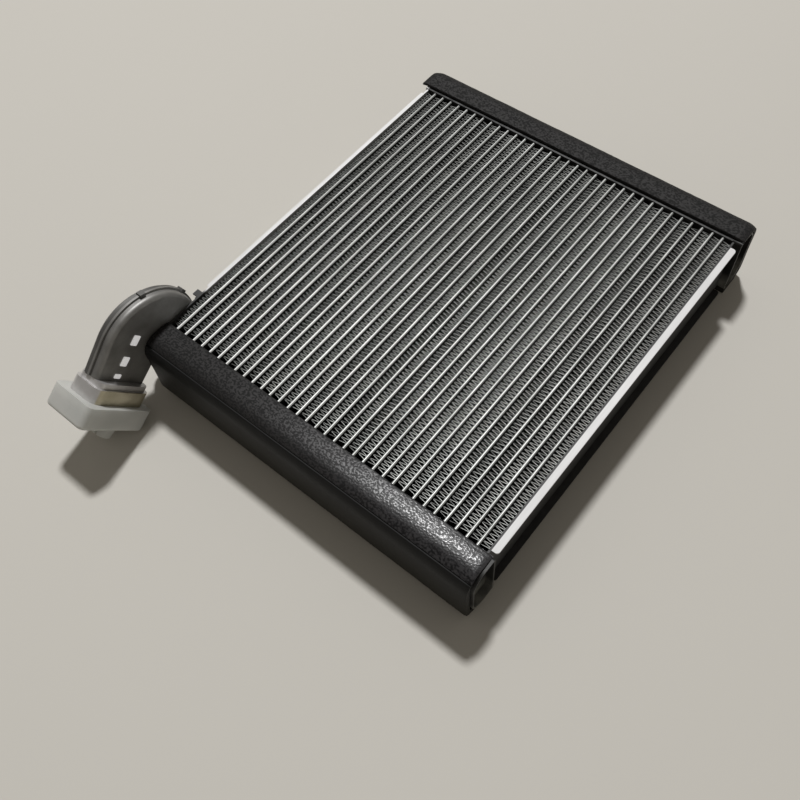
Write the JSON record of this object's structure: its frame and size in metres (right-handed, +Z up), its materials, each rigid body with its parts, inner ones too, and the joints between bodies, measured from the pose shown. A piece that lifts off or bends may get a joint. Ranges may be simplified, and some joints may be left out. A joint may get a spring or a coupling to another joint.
{
  "type": "evaporator core",
  "caption": "Flat-tube evaporator core with finned face, foam-wrapped tanks, a pressed twin-passage pipe at one end and a capped joint block.",
  "frame": {"origin": "on the resting plane, under the middle of the near tank", "axes": "+X along the tanks away from the pipe, +Y along the tubes from the near tank to the far tank, +Z up"},
  "size_m": [0.2403, 0.3236, 0.0713],
  "materials": {
    "tube_metal": "bright extruded",
    "fin_metal": "coated sheet",
    "plate_metal": "rolled sheet",
    "tank_metal": "brazed satin",
    "pipe_metal": "brazed satin",
    "block_metal": "machined",
    "foam": "closed-cell foam with a grained skin",
    "seal_rubber": "matt",
    "cap_plastic": "milky, slightly translucent"
  },
  "bodies": {
    "root": {"upper_row_tubes": "tube_metal", "lower_row_tubes": "tube_metal", "corrugated_fins": "fin_metal", "left_side_plate": "plate_metal", "right_side_plate": "plate_metal", "near_header_plate": "tank_metal", "near_tank_cover": "tank_metal", "near_tank_ported_end": "tank_metal", "near_tank_right_end": "tank_metal", "near_tank_lower_baffle": "tank_metal", "near_tank_upper_baffle": "tank_metal", "far_header_plate": "tank_metal", "far_tank_cover": "tank_metal", "far_tank_left_end": "tank_metal", "far_tank_right_end": "tank_metal", "near_foam_upper": "foam", "near_foam_lower": "foam", "far_foam_upper": "foam", "far_foam_lower": "foam", "pipe_inner_shell": "pipe_metal", "pipe_outer_shell": "pipe_metal", "pipe_face_tabs": "plate_metal", "liquid_port_collar": "pipe_metal", "suction_port_collar": "pipe_metal", "joint_block": "block_metal", "suction_o_ring": "seal_rubber", "liquid_o_ring": "seal_rubber", "protective_cap": "cap_plastic"}
  },
  "joints": []
}
